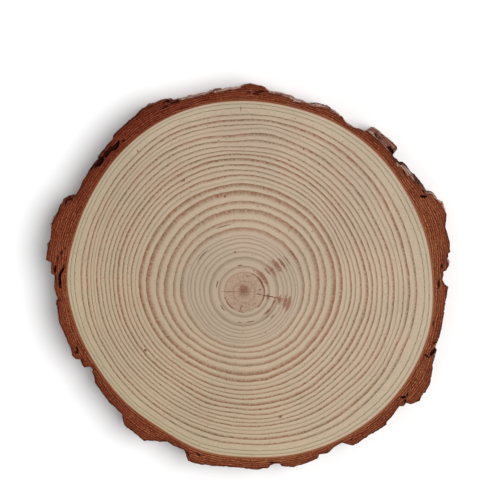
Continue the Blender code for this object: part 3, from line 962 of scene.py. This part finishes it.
def pine_bark_material(looks, grain):
    """Bark: fine woven layers on the cut faces, weathered scales over red ones on the side, and
    painted shade in its pits, cracks and deepest scales.
    """
    material, tree, shader = new_material("pine_bark", 0.85, 0.05)
    fibre = use_group(tree, grain, {
        "Centre": (TRUNK_CENTRE[0] * MM, TRUNK_CENTRE[1] * MM, 0.0), "Ray Count": 90.0,
        "Layer Spacing": 0.42, "Layer Length": 1.6})
    pores, rays, position = fibre["Pores"], fibre["Rays"], fibre["Position"]
    depth, sheet, rim, layer, crack, edge, ledge, pitting, tone, cut_share = (
        attribute(tree, name) for name in (
            "depth", "sheet", "rim", "layer", "crack", "edge", "ledge", "pit", "tone", "cut"))
    wavy_depth = sheet + position.noise(0.35) * 0.9
    tangential = fibre["Direction"].grown(LAYER_TURN)
    red, green, blue = tuple(looks.cut)[:3]

    def woven(length, spacing, detail, distortion):
        """Noise stretched along the layers: so many millimetres long, and so far apart."""
        out = (wavy_depth / spacing).upward()
        return tangential.grown(1.0 / length).vector("ADD", out).noise(
            1.0, detail, 0.6, distortion)

    def cut_colour(*factors):
        """The cut bark's own colour with its red, green and blue times the factors."""
        return (factors[0] * red, factors[1] * green, factors[2] * blue, 1.0)

    # Cut faces: pale lines and dark grooves along the layers, paler inside and darker outside.
    sheets = woven(5.0, 0.9, 2.0, 0.2)
    dashes = woven(0.75, 0.4, 1.5, 0.3)
    ticks = woven(0.45, 0.25, 2.0, 0.5)
    phase = dashes.scaled(0.35, sheets.scaled(1.3, wavy_depth / 0.56))
    wave = (phase * (2.0 * math.pi)).maths("COSINE")
    line = wave.eased(0.2, 0.9) * ticks.eased(0.38, 0.58, 0.12, 1.0)
    groove = wave.eased(0.0, -0.9) * ticks.eased(0.4, 0.6)
    weave = ticks.scaled(0.7, sheets * 0.3)
    dark_cut = cut_colour(0.38, 0.2, 0.2)
    cut = weave.ramp((
        (0.36, dark_cut), (0.48, cut_colour(1.0, 1.0, 1.0)), (0.60, cut_colour(1.4, 1.6, 1.8))))
    cut = (line * 0.95).between(cut, cut_colour(2.1, 4.0, 5.6))
    cut = (rim.eased(2.6, 0.6) * 0.36).between(cut, cut_colour(0.62, 0.5, 0.5))
    cut = (groove * 0.85).between(cut, dark_cut)
    inside = (depth + ticks * 0.6).eased(0.95, 0.35)
    cut = (inside * 0.85).between(cut, tuple(looks.inner))
    rim_shade = (rim + sheets.scaled(1.2, -0.6)).eased(0.6, 0.0)
    cut = (rim_shade * 0.7).between(cut, (0.046, 0.009, 0.005, 1.0))
    warmth = tone * tone.scaled(0.9, 0.12)
    cut = cut.tinted(tone, warmth, warmth)

    # Outer side: scales from fresh red to weathered grey, with torn flakes; painted shade darkens
    # the lowest, deepest scales towards near black, and the cracks, scale edges and gaps between
    # flakes.
    torn = position.noise(0.5, 3.0, output="Color")
    flake_at = position.vector("MULTIPLY", (0.45, 0.45, 0.22)).vector("ADD", torn.grown(0.9))
    flake_tone = flake_at.cells(1.0)["Color"].split("Color")[0]
    flake_gap = flake_at.cells(1.0, feature="DISTANCE_TO_EDGE")["Distance"].eased(0.07, 0.0)
    flake_gap = flake_gap * layer.eased(1.05, 0.8)
    weathering_and_depth_shade = layer + position.noise(0.45, 4.0, 0.6).scaled(0.9, -0.45)
    weathering_and_depth_shade = weathering_and_depth_shade + flake_tone.scaled(0.36, -0.18)
    # Painted shade: at the start of the ramp the lowest, deepest scales darken from red towards
    # near black.
    wall = weathering_and_depth_shade.ramp((
        (0.2, (0.06, 0.018, 0.01, 1.0)), (0.42, (0.17, 0.052, 0.029, 1.0)),
        (0.66, (0.24, 0.10, 0.068, 1.0)), (0.80, tuple(looks.weathered)),
        (0.97, (0.52, 0.34, 0.28, 1.0)),
    ))
    fleck = pores.eased(0.3, 0.75, 0.72, 1.15)
    wall = wall.tinted(fleck, fleck, fleck)
    streak = wave.eased(-0.4, 0.9) * ticks.eased(0.35, 0.55, 0.4, 1.0)
    ledge_colour = streak.between((0.105, 0.03, 0.02, 1.0), (0.35, 0.18, 0.145, 1.0))
    wall = ledge.between(wall, ledge_colour)
    # Painted shade in the cracks, at the scale edges and in the gaps between flakes.
    hollow = (crack * 0.8).most(edge * 0.4).most(flake_gap * 0.45)
    wall = hollow.between(wall, (0.035, 0.012, 0.008, 1.0))

    # Pits: painted shade, from dark red-brown where shallow to nearly black where deep, with pale
    # torn fibres at the lip.
    on_cut = cut_share.eased(0.45, 0.75)
    colour = on_cut.between(wall, cut)
    ragged_pit = pitting + ticks.scaled(0.8, -0.4)
    # Painted shade: the deeper the pit, the darker it is painted.
    pit_shade_colour = ragged_pit.eased(0.8, 1.9).between(
        (0.085, 0.012, 0.005, 1.0), (0.034, 0.006, 0.003, 1.0))
    colour = (ragged_pit.eased(0.1, 0.75) * 0.92).between(colour, pit_shade_colour)
    lip = pitting.eased(0.02, 0.2) * pitting.eased(0.9, 0.4)
    fibres = lip * pores.eased(0.52, 0.62)
    (fibres * 0.6).between(colour, (0.42, 0.22, 0.17, 1.0)).feeds(shader.inputs["Base Color"])

    flaking = flake_tone * 1.6 - flake_gap * 1.2
    relief = line.scaled(0.6, weave * 1.2 + pores * 0.6)
    relief = rays.scaled(0.3, flaking.scaled(1.0 - on_cut, relief))
    bump_from(relief, shader, 0.7, 0.25)
    return material


def shared_grain():
    """The grain group, made once."""
    return bpy.data.node_groups.get("trunk_grain") or trunk_grain_group()


class WOODSLICE_OT_sawn_wood(bpy.types.Operator):
    """Add the disc of wood with its growth rings"""

    bl_idname = "woodslice.sawn_wood"
    bl_label = "Sawn Wood"

    def execute(self, context):
        looks = context.scene.sawn_wood_looks
        points, faces, attributes = wood_surface(looks.ridge)
        material = sawn_wood_material(looks, shared_grain())
        new_piece("sawn_wood", points, faces, attributes, "wood", material)
        return {"FINISHED"}


class WOODSLICE_OT_pine_bark(bpy.types.Operator):
    """Add the ring of bark with its plates, scales, cracks and pits"""

    bl_idname = "woodslice.pine_bark"
    bl_label = "Pine Bark"

    def execute(self, context):
        looks = context.scene.pine_bark_looks
        points, faces, attributes = bark_surface(looks.scale_step)
        material = pine_bark_material(looks, shared_grain())
        new_piece("pine_bark", points, faces, attributes, "bark", material)
        return {"FINISHED"}


def add_floor():
    """A plain pale floor, wide enough to fill any view."""
    mesh = bpy.data.meshes.new("floor")
    corners = [(x * FLOOR_REACH, y * FLOOR_REACH, 0.0)
               for x, y in ((-1, -1), (1, -1), (1, 1), (-1, 1))]
    mesh.from_pydata(corners, [], [(0, 1, 2, 3)])
    material, _, shader = new_material("pale_floor", 0.9, 0.1)
    shader.inputs["Base Color"].default_value = (0.95, 0.95, 0.95, 1.0)
    mesh.materials.append(material)
    floor = bpy.data.objects.new("floor", mesh)
    bpy.context.scene.collection.objects.link(floor)


def add_key_light(settings):
    """Wide soft light from the right, even over the whole floor."""
    light = bpy.data.lights.new("key", "SUN")
    light.energy = settings.key_strength
    light.angle = KEY_ANGLE
    lamp = bpy.data.objects.new("key", light)
    lamp.rotation_euler = Vector(KEY_DIRECTION).to_track_quat("Z", "Y").to_euler()
    bpy.context.scene.collection.objects.link(lamp)


def add_sky(settings):
    """Even white light from all round, which the camera sees as plain white."""
    world = bpy.data.worlds.new("white_sky")
    world.use_nodes = True
    tree = world.node_tree
    seen = fields_of(tree, add_node(tree, "ShaderNodeLightPath"))["Is Camera Ray"]
    strength = seen.node("ShaderNodeMix", {0: seen, 2: settings.sky, 3: 1.0})
    background = tree.nodes["Background"]
    background.inputs[0].default_value = (1.0, 1.0, 1.0, 1.0)
    strength.feeds(background.inputs[1])
    bpy.context.scene.world = world


def add_camera(settings):
    """Long lens nearly overhead, with +Y up in the picture."""
    aim = Vector((*VIEW_CENTRE, THICKNESS)) * MM
    away = Vector((
        math.sin(settings.tilt) * math.cos(settings.tilt_azimuth),
        math.sin(settings.tilt) * math.sin(settings.tilt_azimuth),
        math.cos(settings.tilt)))
    right = Vector((0.0, 1.0, 0.0)).cross(away).normalized()
    upward = away.cross(right)
    place = aim + away * settings.distance
    data = bpy.data.cameras.new("photo_view")
    data.lens = LENS
    data.sensor_width = settings.view_width * LENS / settings.distance
    data.clip_end = 20.0
    camera = bpy.data.objects.new("photo_view", data)
    rows = ((right.x, upward.x, away.x, place.x), (right.y, upward.y, away.y, place.y),
            (right.z, upward.z, away.z, place.z), (0.0, 0.0, 0.0, 1.0))
    camera.matrix_world = Matrix(rows)
    bpy.context.scene.collection.objects.link(camera)
    bpy.context.scene.camera = camera


class WOODSLICE_OT_stage(bpy.types.Operator):
    """Add the floor, the soft light and the camera"""

    bl_idname = "woodslice.stage"
    bl_label = "Stage"

    def execute(self, context):
        settings = context.scene.slice_stage
        add_floor()
        add_key_light(settings)
        add_sky(settings)
        context.scene.view_settings.view_transform = "Standard"
        add_camera(settings)
        return {"FINISHED"}


class WOODSLICE_PT_panel(bpy.types.Panel):
    """Lists the pieces and their settings"""

    bl_idname = "WOODSLICE_PT_panel"
    bl_label = "Wood Slice"
    bl_space_type = "VIEW_3D"
    bl_region_type = "UI"
    bl_category = "Wood Slice"

    def draw(self, context):
        scene = context.scene
        for operator, group in STEPS:
            box = self.layout.box()
            box.operator(operator.bl_idname)
            settings = getattr(scene, group)
            for name in settings.bl_rna.properties.keys():
                if name not in ("rna_type", "name"):
                    box.prop(settings, name)


STEPS = (
    (WOODSLICE_OT_stage, "slice_stage"),
    (WOODSLICE_OT_sawn_wood, "sawn_wood_looks"),
    (WOODSLICE_OT_pine_bark, "pine_bark_looks"),
)
SETTINGS = (
    ("slice_stage", StageSettings),
    ("sawn_wood_looks", SawnWoodSettings),
    ("pine_bark_looks", PineBarkSettings),
)


def register():
    for name, group in SETTINGS:
        bpy.utils.register_class(group)
        setattr(bpy.types.Scene, name, bpy.props.PointerProperty(type=group))
    for operator, _ in STEPS:
        bpy.utils.register_class(operator)
    bpy.utils.register_class(WOODSLICE_PT_panel)


def unregister():
    bpy.utils.unregister_class(WOODSLICE_PT_panel)
    for operator, _ in reversed(STEPS):
        bpy.utils.unregister_class(operator)
    for name, group in reversed(SETTINGS):
        delattr(bpy.types.Scene, name)
        bpy.utils.unregister_class(group)


def main():
    register()
    for name in ("Cube", "Light", "Camera"):
        if name in bpy.data.objects:
            bpy.data.objects.remove(bpy.data.objects[name], do_unlink=True)
    bpy.ops.woodslice.stage()
    bpy.ops.woodslice.sawn_wood()
    bpy.ops.woodslice.pine_bark()


if __name__ == "__main__":
    main()
